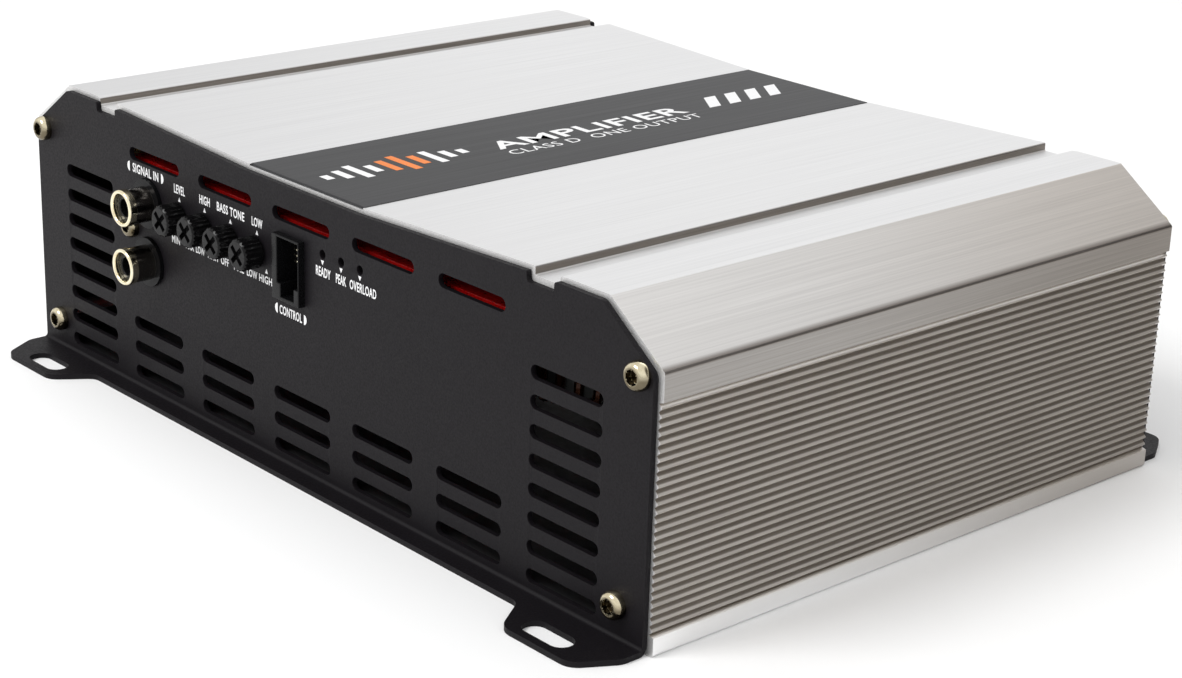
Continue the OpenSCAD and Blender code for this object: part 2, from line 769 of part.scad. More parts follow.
module fuse_holder() color("black") {
    y_out = rear_y + sheet_t + fuse_holder_out;
    difference() {
        union() {
            block([fuse_holder_x[0] + 1.2, rear_y - terminal_in, fuse_z[0] + 1.2],
                  [fuse_holder_x[1] - 1.2, y_out, fuse_z[1] - 1.2]);
            block([fuse_holder_x[0], rear_y + sheet_t, fuse_z[0]],
                  [fuse_holder_x[1], rear_y + sheet_t + 1.5, fuse_z[1]]);
            block([fuse_holder_x[0] + 3, rear_y - terminal_in, fuse_z[0] + 3],
                  [fuse_holder_x[1] - 3, rear_y - 2, board_under_z]);
        }
        for (x = fuse_x, z = fuse_blade_z)
            block([x - fuse_blade[0] / 2 - 0.1, rear_y - 8, z - 0.1],
                  [x + fuse_blade[0] / 2 + 0.1, y_out + 1, z + fuse_blade[1] + 0.1]);
    }
}

// A blade fuse: a grip, a wider head and two blades that go into the holder
module fuses() color("orange")
    for (x = fuse_x) {
        y0 = rear_y + sheet_t + fuse_holder_out;
        block([x - 2.4, y0, fuse_z[0] + 1], [x + 2.4, y0 + 4, fuse_z[1] - 1]);
        block([x - 1.6, y0 + 3.9, fuse_z[0] + 2], [x + 1.6, y0 + fuse_out, fuse_z[1] - 2]);
        for (z = fuse_blade_z)
            block([x - fuse_blade[0] / 2, rear_y - 7, z],
                  [x + fuse_blade[0] / 2, y0 + 0.5, z + fuse_blade[1]]);
    }

heatsink_body();
bottom_cover();
label_plate();
front_panel();
front_panel_screws();
rear_panel();
rear_panel_screws();
gain_knob();
high_pass_knob();
bass_boost_knob();
low_pass_knob();
gain_control();
high_pass_control();
bass_boost_control();
low_pass_control();
rca_jack_housing();
rca_shells();
rca_insulators();
rca_centre_contacts();
rca_jack_screw();
remote_jack();
remote_jack_contacts();
status_leds();
main_board();
board_standoffs();
board_screws();
transformer_core();
transformer_winding();
output_choke_cores();
output_choke_windings();
power_capacitors();
film_capacitors();
preamp_chips();
left_transistors();
right_transistors();
thermal_pads();
left_clamp_bar();
right_clamp_bar();
clamp_screws();
power_terminal_block();
power_terminal_clamps();
power_terminal_screws();
speaker_terminal_block();
speaker_terminal_clamps();
speaker_terminal_screws();
fuse_holder();
fuses();
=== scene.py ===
"""Looks for a compact car amplifier: finishes, marks, jack rings, windings, solder, floor and light."""

import json
import math
import random

import bmesh
import bpy
from mathutils import Matrix, Vector


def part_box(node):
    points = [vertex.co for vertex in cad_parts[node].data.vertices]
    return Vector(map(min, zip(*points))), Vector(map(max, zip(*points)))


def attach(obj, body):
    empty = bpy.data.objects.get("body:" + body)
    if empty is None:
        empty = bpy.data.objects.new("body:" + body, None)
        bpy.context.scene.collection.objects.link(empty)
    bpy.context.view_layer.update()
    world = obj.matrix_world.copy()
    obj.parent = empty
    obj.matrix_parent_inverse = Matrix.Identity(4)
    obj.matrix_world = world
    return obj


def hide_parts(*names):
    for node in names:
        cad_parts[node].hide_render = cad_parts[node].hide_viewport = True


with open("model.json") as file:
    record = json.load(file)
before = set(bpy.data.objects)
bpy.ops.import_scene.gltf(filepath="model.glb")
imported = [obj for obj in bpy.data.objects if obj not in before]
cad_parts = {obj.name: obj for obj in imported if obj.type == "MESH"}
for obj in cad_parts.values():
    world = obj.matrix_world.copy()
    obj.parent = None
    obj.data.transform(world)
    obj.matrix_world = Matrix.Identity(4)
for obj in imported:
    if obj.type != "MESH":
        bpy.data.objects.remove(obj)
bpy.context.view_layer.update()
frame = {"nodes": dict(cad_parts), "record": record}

MM = 0.001
CHASSIS = "chassis"
FULL_TURN = 2 * math.pi
KNOBS = ("gain", "high_pass", "bass_boost", "low_pass")

# Zones of the body for its finish and for the light and shade painted into it, in metres: each pair is the
# two limits of a band, or of one soft edge
SIDE_X = (0.1043, 0.1046)
RIBS_Z = (0.0041, 0.0489)
RIB_FOOT, RIB_PITCH = 0.00425, 0.00165
RIB_TIP = (0.32, 0.74)                 # share of a rib's pitch
FOOT_Z = (0.0042, 0.0040)
HIGH_SIDE_Z = (0.0487, 0.0491)
GROOVE_X = (0.0705, 0.0786)
GROOVE_Z = (0.0648, 0.0645)
SHOULDER_SHADE_X = (0.1040, 0.1048)
SHOULDER_SHADE_Z = (0.05435, 0.0553)
REARWARD_SHADE_Y = (-0.05, 0.073)
INNER_X = (0.1003, 0.1001)
INNER_Z = (0.0600, 0.0597)
INNER_Y = (0.0722, 0.0718)

# Screws with a driver recess that gets painted shade: distance to each side and height of their axes, in
# millimetres
SCREW_AXES = ((101.0, 53.1), (97.1, 7.75), (64.3, 38.9))

# Soft edges of the painted shade in the screws' recess and of the jacks' sleeve, in metres
RECESS_SHADE_R = (0.0015, 0.0014)
RECESS_SHADE_Y = (0.0761, 0.0758)
SLEEVE_Y = (-0.0754, -0.0755)

LABEL_MARK_X = -1.7                    # middle of the bars and slashes, in millimetres
INK_THICKNESS = 0.03 * MM
INK_LIFT = 0.01 * MM


# ---------------------------------------------------------------- shader building

def add(tree, kind, inputs=None, **settings):
    """A shader node with its settings made and its inputs set or linked."""
    node = tree.nodes.new("ShaderNode" + kind)
    for name, value in settings.items():
        setattr(node, name, value)
    for name, value in (inputs or {}).items():
        if isinstance(value, bpy.types.NodeSocket):
            tree.links.new(value, node.inputs[name])
        else:
            node.inputs[name].default_value = value
    return node


def finish(name, color, roughness, metallic=0.0, **fixed):
    """A new material; what is the same all over its surface is set straight on the shader."""
    material = bpy.data.materials.new(name)
    material.use_nodes = True
    tree = material.node_tree
    shader = tree.nodes["Principled BSDF"]
    shader.inputs["Base Color"].default_value = (*color, 1)
    shader.inputs["Roughness"].default_value = roughness
    shader.inputs["Metallic"].default_value = metallic
    for socket, value in fixed.items():
        shader.inputs[socket.replace("_", " ")].default_value = value
    return material, tree, shader


def place(tree):
    """Position on the amplifier, in metres."""
    return add(tree, "TexCoord").outputs["Object"]


def noise(tree, scale, detail=3.0, rough=0.55, stretch=(1, 1, 1)):
    """Noise from 0 to 1 with its own scale on each axis."""
    mapping = add(tree, "Mapping", {"Vector": place(tree), "Scale": stretch})
    texture = add(tree, "TexNoise", {"Vector": mapping.outputs[0], "Scale": scale, "Detail": detail,
                                     "Roughness": rough})
    return texture.outputs["Fac"]


def between(tree, value, low, high, to_low=0.0, to_high=1.0, smooth=False):
    """value from low to high, carried over to a new range."""
    kind = "SMOOTHSTEP" if smooth else "LINEAR"
    node = add(tree, "MapRange", {0: value, 1: low, 2: high, 3: to_low, 4: to_high}, interpolation_type=kind)
    return node.outputs[0]


def math_node(tree, operation, a, b=0.0):
    return add(tree, "Math", {0: a, 1: b}, operation=operation).outputs[0]


def times(tree, *factors):
    product = factors[0]
    for factor in factors[1:]:
        product = math_node(tree, "MULTIPLY", product, factor)
    return product


def size_of(tree, value):
    return math_node(tree, "ABSOLUTE", value)


def band(tree, value, low, high, soft):
    """1 where value lies between low and high, with soft ends."""
    up = between(tree, value, low - soft, low + soft)
    down = between(tree, value, high - soft, high + soft, 1.0, 0.0)
    return times(tree, up, down)


def mix(tree, factor, a, b):
    """Colour a where factor is 0 and b where it is 1."""
    def rgba(c):
        return c if isinstance(c, bpy.types.NodeSocket) else (*c, 1)
    node = add(tree, "Mix", {0: factor, 6: rgba(a), 7: rgba(b)}, data_type="RGBA")
    return node.outputs[2]


def bump(tree, shader, height, distance, strength=1.0, under=None):
    """Fine relief of that depth, in metres, over another relief if there is one."""
    inputs = {"Height": height, "Distance": distance, "Strength": strength}
    if under is not None:
        inputs["Normal"] = under
    node = add(tree, "Bump", inputs)
    tree.links.new(node.outputs[0], shader.inputs["Normal"])
    return node.outputs[0]


def link(tree, value, shader, socket):
    tree.links.new(value, shader.inputs[socket])


def facing_of(tree):
    """Which way the surface faces, as x, y and z."""
    return add(tree, "SeparateXYZ", {0: add(tree, "TexCoord").outputs["Normal"]}).outputs


# ---------------------------------------------------------------- finishes

def body_zones(tree):
    """Masks for the parts of the body that the finish tells apart, and for where it paints light and shade.
    """
    xyz = add(tree, "SeparateXYZ", {0: place(tree)}).outputs
    out_x, height = size_of(tree, xyz[0]), xyz[2]
    facing = facing_of(tree)
    upright = between(tree, size_of(tree, facing[0]), 0.86, 0.94)
    side = between(tree, out_x, *SIDE_X)
    groove = times(tree, band(tree, out_x, *GROOVE_X, 0.0002), between(tree, height, *GROOVE_Z))
    rib_share = math_node(tree, "DIVIDE", math_node(tree, "SUBTRACT", height, RIB_FOOT), RIB_PITCH)
    return {
        "ends": between(tree, size_of(tree, facing[1]), 0.8, 0.95),
        "sloping": band(tree, size_of(tree, facing[2]), 0.72, 0.9, 0.02),
        "ribs": times(tree, side, band(tree, height, *RIBS_Z, 0.0001)),
        "rib_tip": band(tree, math_node(tree, "FRACT", rib_share), *RIB_TIP, 0.06),
        "foot": times(tree, side, between(tree, height, *FOOT_Z)),
        "high_side": times(tree, upright, between(tree, height, *HIGH_SIDE_Z)),
        "groove": groove,
        "groove_wall": times(tree, groove, upright),
        "shoulder_shade": times(tree, between(tree, out_x, *SHOULDER_SHADE_X), band(tree, height, *SHOULDER_SHADE_Z, 0.0003)),
        "rearward_shade": between(tree, xyz[1], *REARWARD_SHADE_Y, smooth=True),
        "inner": times(tree, between(tree, out_x, *INNER_X), between(tree, height, *INNER_Z),
                       between(tree, facing[2], 0.5, 0.4), between(tree, size_of(tree, xyz[1]), *INNER_Y)),
    }


def brushed_aluminium():
    """Satin anodised aluminium, brushed lengthwise, with a sawn grain on the ends, and light and shade
    painted on the chamfer, side bands, groove walls, shoulder, ribs, foot and inner faces.
    """
    material, tree, shader = finish("brushed_aluminium", (0.78, 0.78, 0.79), 0.34, metallic=1.0)
    lines = noise(tree, 1.0, 4.0, 0.65, stretch=(2700, 14, 2700))
    hairs = noise(tree, 1.0, 2.0, 0.5, stretch=(6500, 60, 6500))
    clouds = noise(tree, 14.0, 2.0)
    grain = noise(tree, 2600.0, 3.0, 0.7)
    zone = body_zones(tree)
    rearward_shade = zone["rearward_shade"]

    streaks = between(tree, lines, 0.3, 0.7)
    color = mix(tree, streaks, (0.735, 0.735, 0.74), (0.825, 0.825, 0.83))
    color = mix(tree, between(tree, clouds, 0.3, 0.7, 0.0, 0.25), color, (0.78, 0.775, 0.77))
    # Chamfer: its own warmer, lighter tone is painted light, multiplied darker towards the rear as painted
    # shade
    color = mix(tree, zone["sloping"], color, mix(tree, streaks, (0.73, 0.715, 0.70), (0.86, 0.845, 0.83)))
    color = add(tree, "Mix", {0: times(tree, rearward_shade, zone["sloping"]), 6: color, 7: (0.90, 0.86, 0.82, 1)},
                data_type="RGBA", blend_type="MULTIPLY").outputs[2]
    # High side band: painted shade, dark at the front and darker towards the rear
    side_band_shade_front = mix(tree, streaks, (0.31, 0.295, 0.28), (0.40, 0.38, 0.36))
    side_band_shade_rear = mix(tree, streaks, (0.20, 0.18, 0.16), (0.28, 0.255, 0.23))
    color = mix(tree, zone["high_side"], color, mix(tree, rearward_shade, side_band_shade_front, side_band_shade_rear))
    # Groove walls: painted shade
    groove_wall_shade = mix(tree, streaks, (0.26, 0.235, 0.21), (0.34, 0.31, 0.28))
    color = mix(tree, zone["groove_wall"], color, groove_wall_shade)
    # Shoulder of the side: a painted dark line of shade
    color = mix(tree, times(tree, zone["shoulder_shade"], 0.8), color, (0.20, 0.17, 0.15))
    # Ribs: painted highlight on their tips and painted shade in the valleys between them
    rib_tip_highlight = mix(tree, lines, (0.92, 0.87, 0.81), (1.0, 0.97, 0.93))
    rib_valley_shade = mix(tree, lines, (0.30, 0.265, 0.23), (0.42, 0.38, 0.34))
    color = mix(tree, zone["ribs"], color, mix(tree, zone["rib_tip"], rib_valley_shade, rib_tip_highlight))
    # Foot band: painted light at the front fading to painted shade at the rear
    color = mix(tree, zone["foot"], color, mix(tree, rearward_shade, (0.93, 0.93, 0.93), (0.48, 0.45, 0.42)))
    color = mix(tree, zone["ends"], color, mix(tree, grain, (0.52, 0.515, 0.51), (0.82, 0.815, 0.81)))
    # Faces inside the body: painted shade
    color = mix(tree, zone["inner"], color, (0.05, 0.047, 0.045))
    link(tree, color, shader, "Base Color")
    rough = between(tree, hairs, 0.25, 0.75, 0.28, 0.42)
    rough = math_node(tree, "ADD", rough, times(tree, zone["ends"], 0.18))
    rough = math_node(tree, "ADD", rough, times(tree, zone["groove"], 0.25))
    link(tree, rough, shader, "Roughness")
    long_relief = bump(tree, shader, lines, 0.000010, 0.5)
    bump(tree, shader, times(tree, grain, zone["ends"]), 0.00003, 0.6, under=long_relief)
    return material


def powder_coat():
    """Black powder coat with a fine sandy texture."""
    material, tree, shader = finish("powder_coat", (0.006, 0.005, 0.006), 0.5, Specular_IOR_Level=0.14)
    pebble = noise(tree, 2200.0, 2.0, 0.5)
    clouds = noise(tree, 30.0, 3.0)
    link(tree, mix(tree, clouds, (0.0055, 0.0045, 0.0058), (0.0072, 0.0060, 0.0076)), shader, "Base Color")
    link(tree, between(tree, pebble, 0.3, 0.7, 0.42, 0.6), shader, "Roughness")
    bump(tree, shader, pebble, 0.00006, 0.35)
    return material


def label_foil():
    """Dark grey printed foil with a faint lengthwise grain."""
    material, tree, shader = finish("label_foil", (0.022, 0.022, 0.024), 0.45, Specular_IOR_Level=0.25)
    lines = noise(tree, 1.0, 3.0, 0.5, stretch=(2600, 20, 2600))
    link(tree, mix(tree, lines, (0.019, 0.019, 0.021), (0.026, 0.026, 0.028)), shader, "Base Color")
    link(tree, between(tree, lines, 0.3, 0.7, 0.42, 0.5), shader, "Roughness")
    bump(tree, shader, lines, 0.000006, 0.3)
    return material


def black_sheet():
    """Thin black paint on the bottom plate."""
    material, tree, shader = finish("black_sheet", (0.02, 0.02, 0.021), 0.4)
    peel = noise(tree, 700.0, 2.0)
    link(tree, mix(tree, peel, (0.016, 0.016, 0.017), (0.026, 0.026, 0.027)), shader, "Base Color")
    link(tree, between(tree, peel, 0.3, 0.7, 0.35, 0.5), shader, "Roughness")
    bump(tree, shader, peel, 0.00004, 0.3)
    return material


def plated(name, light, dark, roughness):
    """Polished plate with faint stains and drawing marks."""
    material, tree, shader = finish(name, light, roughness, metallic=1.0)
    stains = noise(tree, 420.0, 4.0, 0.65)
    marks = noise(tree, 3500.0, 2.0)
    link(tree, mix(tree, between(tree, stains, 0.4, 0.75), light, dark), shader, "Base Color")
    link(tree, between(tree, stains, 0.3, 0.7, roughness * 0.7, roughness * 1.6), shader, "Roughness")
    bump(tree, shader, marks, 0.000006, 0.4)
    return material


def recessed_screw():
    """Bright plate with painted shade on faces turned downward, and painted shade that leaves the driver
    recess of each screw dark and dull.
    """
    material = plated("gold_screw_plate", (0.76, 0.69, 0.50), (0.50, 0.42, 0.27), 0.13)
    tree = material.node_tree
    shader = tree.nodes["Principled BSDF"]
    xyz = add(tree, "SeparateXYZ", {0: place(tree)}).outputs
    out_x = size_of(tree, xyz[0])
    nearest = None
    for x, z in SCREW_AXES:
        here = add(tree, "CombineXYZ", {0: out_x, 1: xyz[2]}).outputs[0]
        apart = add(tree, "VectorMath", {0: here, 1: (x * MM, z * MM, 0)}, operation="DISTANCE")
        reach = apart.outputs["Value"]
        nearest = reach if nearest is None else math_node(tree, "MINIMUM", nearest, reach)
    # Painted shade deep in each driver recess, near the screw axis
    inside = between(tree, nearest, *RECESS_SHADE_R)
    dark = times(tree, inside, between(tree, size_of(tree, xyz[1]), *RECESS_SHADE_Y))
    # Painted shade: faces turned downward are darkened
    under = between(tree, facing_of(tree)[2], 0.45, -0.1, 0.0, 0.9, smooth=True)
    bright = shader.inputs["Base Color"].links[0].from_socket
    bright = mix(tree, under, bright, (0.10, 0.08, 0.05))
    link(tree, mix(tree, dark, bright, (0.03, 0.022, 0.012)), shader, "Base Color")
    return material


def jack_moulding():
    """Black moulding whose round barrels carry a dark bright-rolled sleeve."""
    material, tree, shader = finish("jack_moulding", (0.004, 0.004, 0.0045), 0.25, Specular_IOR_Level=0.1)
    xyz = add(tree, "SeparateXYZ", {0: place(tree)})
    sleeve = between(tree, xyz.outputs[1], *SLEEVE_Y)
    marks = noise(tree, 900.0, 3.0)
    tone = mix(tree, marks, (0.10, 0.092, 0.085), (0.19, 0.175, 0.155))
    link(tree, mix(tree, sleeve, (0.004, 0.004, 0.0045), tone), shader, "Base Color")
    link(tree, sleeve, shader, "Metallic")
    link(tree, between(tree, marks, 0.3, 0.7, 0.13, 0.24), shader, "Roughness")
    bump(tree, shader, noise(tree, 2400.0), 0.00001, 0.3)
    return material


def moulded(name, color, roughness, grain=1500.0, depth=0.00002, **fixed):
    """Moulded plastic with a fine grain and slightly uneven gloss."""
    material, tree, shader = finish(name, color, roughness, **fixed)
    fine = noise(tree, grain, 3.0, 0.6)
    broad = noise(tree, 90.0, 2.0)
    darker = tuple(c * 0.78 for c in color)
    lighter = tuple(min(1.0, c * 1.18) for c in color)
    link(tree, mix(tree, broad, darker, lighter), shader, "Base Color")
    link(tree, between(tree, fine, 0.3, 0.7, roughness * 0.85, roughness * 1.2), shader, "Roughness")
    bump(tree, shader, fine, depth, 0.4)
    return material


def circuit_board():
    """Red solder mask over raised tracks."""
    material, tree, shader = finish("circuit_board", (0.13, 0.002, 0.002), 0.3,
                                    Coat_Weight=0.2, Coat_Roughness=0.15)
    spot = add(tree, "Mapping", {"Vector": place(tree), "Scale": (1, 1, 0)})
    cells = add(tree, "TexVoronoi", {"Vector": spot.outputs[0], "Scale": 150.0},
                distance="CHEBYCHEV", feature="F1")
    steps = math_node(tree, "FRACT", times(tree, cells.outputs["Distance"], 7.0))
    tracks = between(tree, steps, 0.42, 0.5)
    link(tree, mix(tree, tracks, (0.38, 0.003, 0.003), (0.50, 0.006, 0.005)), shader, "Base Color")
    gloss = noise(tree, 300.0, 2.0)
    link(tree, between(tree, gloss, 0.3, 0.7, 0.22, 0.36), shader, "Roughness")
    bump(tree, shader, tracks, 0.00003, 0.6)
    return material


def enamelled_copper():
    """Enamelled copper wire, its colour darkened as painted shade for the inside of the closed body."""
    material, tree, shader = finish("enamelled_copper", (0.14, 0.045, 0.018), 0.35,
                                    metallic=0.85, Coat_Weight=0.15)
    tone = noise(tree, 160.0, 3.0)
    # Painted shade: the wire's colour is kept near black
    link(tree, mix(tree, tone, (0.035, 0.011, 0.005), (0.085, 0.028, 0.012)), shader, "Base Color")
    link(tree, between(tree, tone, 0.3, 0.7, 0.2, 0.34), shader, "Roughness")
    bump(tree, shader, noise(tree, 2500.0), 0.00001, 0.3)
    return material


def solder():
    material, tree, shader = finish("solder", (0.72, 0.72, 0.74), 0.25, metallic=1.0)
    skin = noise(tree, 900.0, 3.0)
    link(tree, mix(tree, skin, (0.58, 0.58, 0.60), (0.85, 0.85, 0.87)), shader, "Base Color")
    link(tree, between(tree, skin, 0.3, 0.7, 0.15, 0.4), shader, "Roughness")
    bump(tree, shader, skin, 0.00003, 0.4)
    return material


def zinc_steel():
    """Zinc-plated steel with a faint crystalline bloom."""
    material, tree, shader = finish("zinc_steel", (0.6, 0.6, 0.62), 0.32, metallic=1.0)
    bloom = add(tree, "TexVoronoi", {"Vector": place(tree), "Scale": 700.0}).outputs["Distance"]
    link(tree, mix(tree, bloom, (0.50, 0.51, 0.53), (0.68, 0.68, 0.70)), shader, "Base Color")
    link(tree, between(tree, bloom, 0.0, 0.7, 0.25, 0.42), shader, "Roughness")
    bump(tree, shader, bloom, 0.00001, 0.3)
    return material


def white_ink():
    """Screen-printed ink, a little uneven."""
    material, tree, shader = finish("white_ink", (0.82, 0.82, 0.82), 0.5)
    cover = noise(tree, 1800.0, 3.0, 0.7)
    link(tree, mix(tree, cover, (0.70, 0.70, 0.71), (0.90, 0.90, 0.90)), shader, "Base Color")
    link(tree, between(tree, cover, 0.3, 0.7, 0.42, 0.58), shader, "Roughness")
    bump(tree, shader, cover, 0.00001, 0.3)
    return material


def smoked_lens():
    """Dark tinted lens of an unlit light."""
    material, tree, shader = finish("smoked_lens", (0.02, 0.004, 0.003), 0.15, Coat_Weight=0.3)
    haze = noise(tree, 900.0, 2.0)
    link(tree, mix(tree, haze, (0.012, 0.003, 0.002), (0.03, 0.006, 0.004)), shader, "Base Color")
    link(tree, between(tree, haze, 0.3, 0.7, 0.1, 0.22), shader, "Roughness")
    return material


FINISHES = {
    "silver_anodise": brushed_aluminium(),
    "black_powder": powder_coat(),
    "grey_label": label_foil(),
    "gold_screw": recessed_screw(),
    "gold_contact": plated("gold_contact_plate", (0.90, 0.84, 0.64), (0.80, 0.68, 0.44), 0.11),
    "black_plastic": moulded("black_plastic", (0.0045, 0.0045, 0.005), 0.25, Specular_IOR_Level=0.18),
    "knob_plastic": moulded("knob_plastic", (0.004, 0.0038, 0.0041), 0.17, grain=2600.0,
                            Specular_IOR_Level=0.17),
    "control_plastic": moulded("control_plastic", (0.02, 0.05, 0.06), 0.45),
    "red_lens": smoked_lens(),
    "red_board": circuit_board(),
    "steel": zinc_steel(),
    "brass_hex": plated("turned_brass", (0.78, 0.60, 0.28), (0.66, 0.48, 0.20), 0.25),
    "ferrite": moulded("painted_ferrite", (0.012, 0.014, 0.013), 0.55, grain=900.0),
    "iron_powder": moulded("painted_iron_powder", (0.62, 0.45, 0.05), 0.5, grain=900.0),
    "copper": enamelled_copper(),
    "can_sleeve": moulded("can_sleeve", (0.01, 0.017, 0.06), 0.25, grain=600.0),
    "film_case": moulded("film_case", (0.24, 0.03, 0.02), 0.3, grain=500.0),
    "chip_black": moulded("chip_epoxy", (0.016, 0.016, 0.017), 0.55, grain=3000.0),
    "pad_pink": moulded("silicone_pad", (0.45, 0.25, 0.25), 0.65),
    "black_steel": black_sheet(),
    "fuse_amber": moulded("fuse_amber", (0.72, 0.22, 0.02), 0.22, grain=700.0, Transmission_Weight=0.25),
    "white_ink": white_ink(),
    "orange_ink": moulded("orange_ink", (0.80, 0.20, 0.02), 0.5, grain=1800.0),
    "jack_moulding": jack_moulding(),
    "solder": solder(),
}


# ---------------------------------------------------------------- pieces from the CAD model

SLOT_OF = {part["node"]: part["material_slot"] for part in frame["record"]["subparts"]}

# Radius of the broken edge of each kind of piece, in millimetres
EDGE = {"silver_anodise": 0.18, "black_powder": 0.3, "grey_label": 0.06, "knob_plastic": 0.09,
        "black_plastic": 0.2, "can_sleeve": 0.0, "copper": 0.0, "ferrite": 0.0, "iron_powder": 0.0}
PLAIN_EDGE = 0.1
SPECIAL_FINISH = {"rca_jack_housing": "jack_moulding"}


def dress(node):
    """Gives a CAD node its finish, rounded edges and smooth curves."""
    piece = frame["nodes"][node]
    slot = SLOT_OF[node]
    piece.data.materials.clear()
    piece.data.materials.append(FINISHES[SPECIAL_FINISH.get(node, slot)])
    piece.data.polygons.foreach_set("use_smooth", [True] * len(piece.data.polygons))
    weld = piece.modifiers.new("weld", "WELD")
    weld.merge_threshold = 0.000002
    radius = EDGE.get(slot, PLAIN_EDGE)
    if radius:
        bevel = piece.modifiers.new("edges", "BEVEL")
        bevel.width = radius * MM
        bevel.segments = 3
        bevel.limit_method = "ANGLE"
        bevel.angle_limit = math.radians(38)
        bevel.harden_normals = False
    split = piece.modifiers.new("creases", "EDGE_SPLIT")
    split.split_angle = math.radians(34)
    evened = piece.modifiers.new("even_shading", "WEIGHTED_NORMAL")
    evened.keep_sharp = True


for node in frame["nodes"]:
    dress(node)


# ---------------------------------------------------------------- building new pieces

def settle(name, mesh, slot, finish_name=None, body=CHASSIS, smooth=True):
    """Puts a finished mesh into the model."""
    piece = bpy.data.objects.new(name, mesh)
    bpy.context.scene.collection.objects.link(piece)
    mesh.materials.clear()
    mesh.materials.append(FINISHES[finish_name or slot])
    if smooth:
        mesh.polygons.foreach_set("use_smooth", [True] * len(mesh.polygons))
        split = piece.modifiers.new("creases", "EDGE_SPLIT")
        split.split_angle = math.radians(34)
    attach(piece, body)
    return piece


def mesh_from(bm, name):
    bmesh.ops.remove_doubles(bm, verts=bm.verts, dist=0.000001)
    bmesh.ops.recalc_face_normals(bm, faces=bm.faces)
    mesh = bpy.data.meshes.new(name)
    bm.to_mesh(mesh)
    bm.free()
    return mesh


def words(name, text, width, height, at, turn, slot, weight=0.02, finish_name="white_ink"):
    """Flat printed words of some weight, fitted to a width and a height, centred at a place."""
    curve = bpy.data.curves.new(name, "FONT")
    curve.body = text
    curve.align_x = "CENTER"
    curve.align_y = "CENTER"
    curve.resolution_u = 3
    curve.extrude = 0.5
    curve.offset = weight
    curve.space_character = 1.08
    maker = bpy.data.objects.new(name + "_maker", curve)
    bpy.context.scene.collection.objects.link(maker)
    bpy.context.view_layer.update()
    mesh = bpy.data.meshes.new_from_object(maker.evaluated_get(bpy.context.evaluated_depsgraph_get()))
    bpy.data.objects.remove(maker)
    low = Vector([min(v.co[i] for v in mesh.vertices) for i in range(3)])
    high = Vector([max(v.co[i] for v in mesh.vertices) for i in range(3)])
    size = high - low
    fit = Matrix.Diagonal((width / size.x, height / size.y, INK_THICKNESS / size.z, 1))
    mesh.transform(Matrix.Translation(at) @ turn @ fit @ Matrix.Translation(-(low + high) / 2))
    return settle(name, mesh, slot, finish_name, smooth=False)


def flat_shape(name, outline, at, turn, slot, finish_name="white_ink"):
    """A thin printed shape from an outline, placed like words."""
    bm = bmesh.new()
    face = bm.faces.new([bm.verts.new((x, y, -INK_THICKNESS / 2)) for x, y in outline])
    raised = bmesh.ops.extrude_face_region(bm, geom=[face])
    tops = [v for v in raised["geom"] if isinstance(v, bmesh.types.BMVert)]
    bmesh.ops.translate(bm, verts=tops, vec=(0, 0, INK_THICKNESS))
    mesh = mesh_from(bm, name)
    mesh.transform(Matrix.Translation(at) @ turn)
    return settle(name, mesh, slot, finish_name, smooth=False)


# ---------------------------------------------------------------- printed marks

SHEET = 1.2 * MM
body_low, body_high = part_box("heatsink_body")
FRONT_FACE = body_low.y - SHEET
REAR_FACE = body_high.y + SHEET
ON_FRONT = Matrix.Rotation(math.radians(90), 4, "X")
ON_REAR = Matrix.Rotation(math.radians(180), 4, "Z") @ ON_FRONT
ON_LABEL = Matrix.Rotation(math.radians(90), 4, "Z")


def centre(node):
    low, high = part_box(node)
    return (low + high) / 2


def on_front(x, z):
    return Vector((x * MM, FRONT_FACE - INK_LIFT, z * MM))


def front_words(name, text, x0, x1, z0, z1):
    at = on_front((x0 + x1) / 2, (z0 + z1) / 2)
    words(name, text, (x1 - x0) * MM, (z1 - z0) * MM, at, ON_FRONT, "black_powder")


def front_triangle(name, x, z, size, up):
    tip = size * 0.5 if up else -size * 0.5
    outline = [(-size * 0.5 * MM, -tip * MM), (size * 0.5 * MM, -tip * MM), (0, tip * MM)]
    if not up:
        outline.reverse()
    flat_shape(name, outline, on_front(x, z), ON_FRONT, "black_powder")


def front_bracket(name, x, z, height, side):
    """A half-round end mark beside a word, rounded away from it."""
    steps = 8
    width = height * 0.42
    outline = [(side * width * math.cos(math.radians(a)) * MM, height / 2 * math.sin(math.radians(a)) * MM)
               for a in [-90 + 180 * i / steps for i in range(steps + 1)]]
    if side < 0:
        outline.reverse()
    flat_shape(name, outline, on_front(x, z), ON_FRONT, "black_powder")


KNOB_X = [centre(k + "_knob").x / MM for k in KNOBS]
KNOB_Z = centre("gain_knob").z / MM


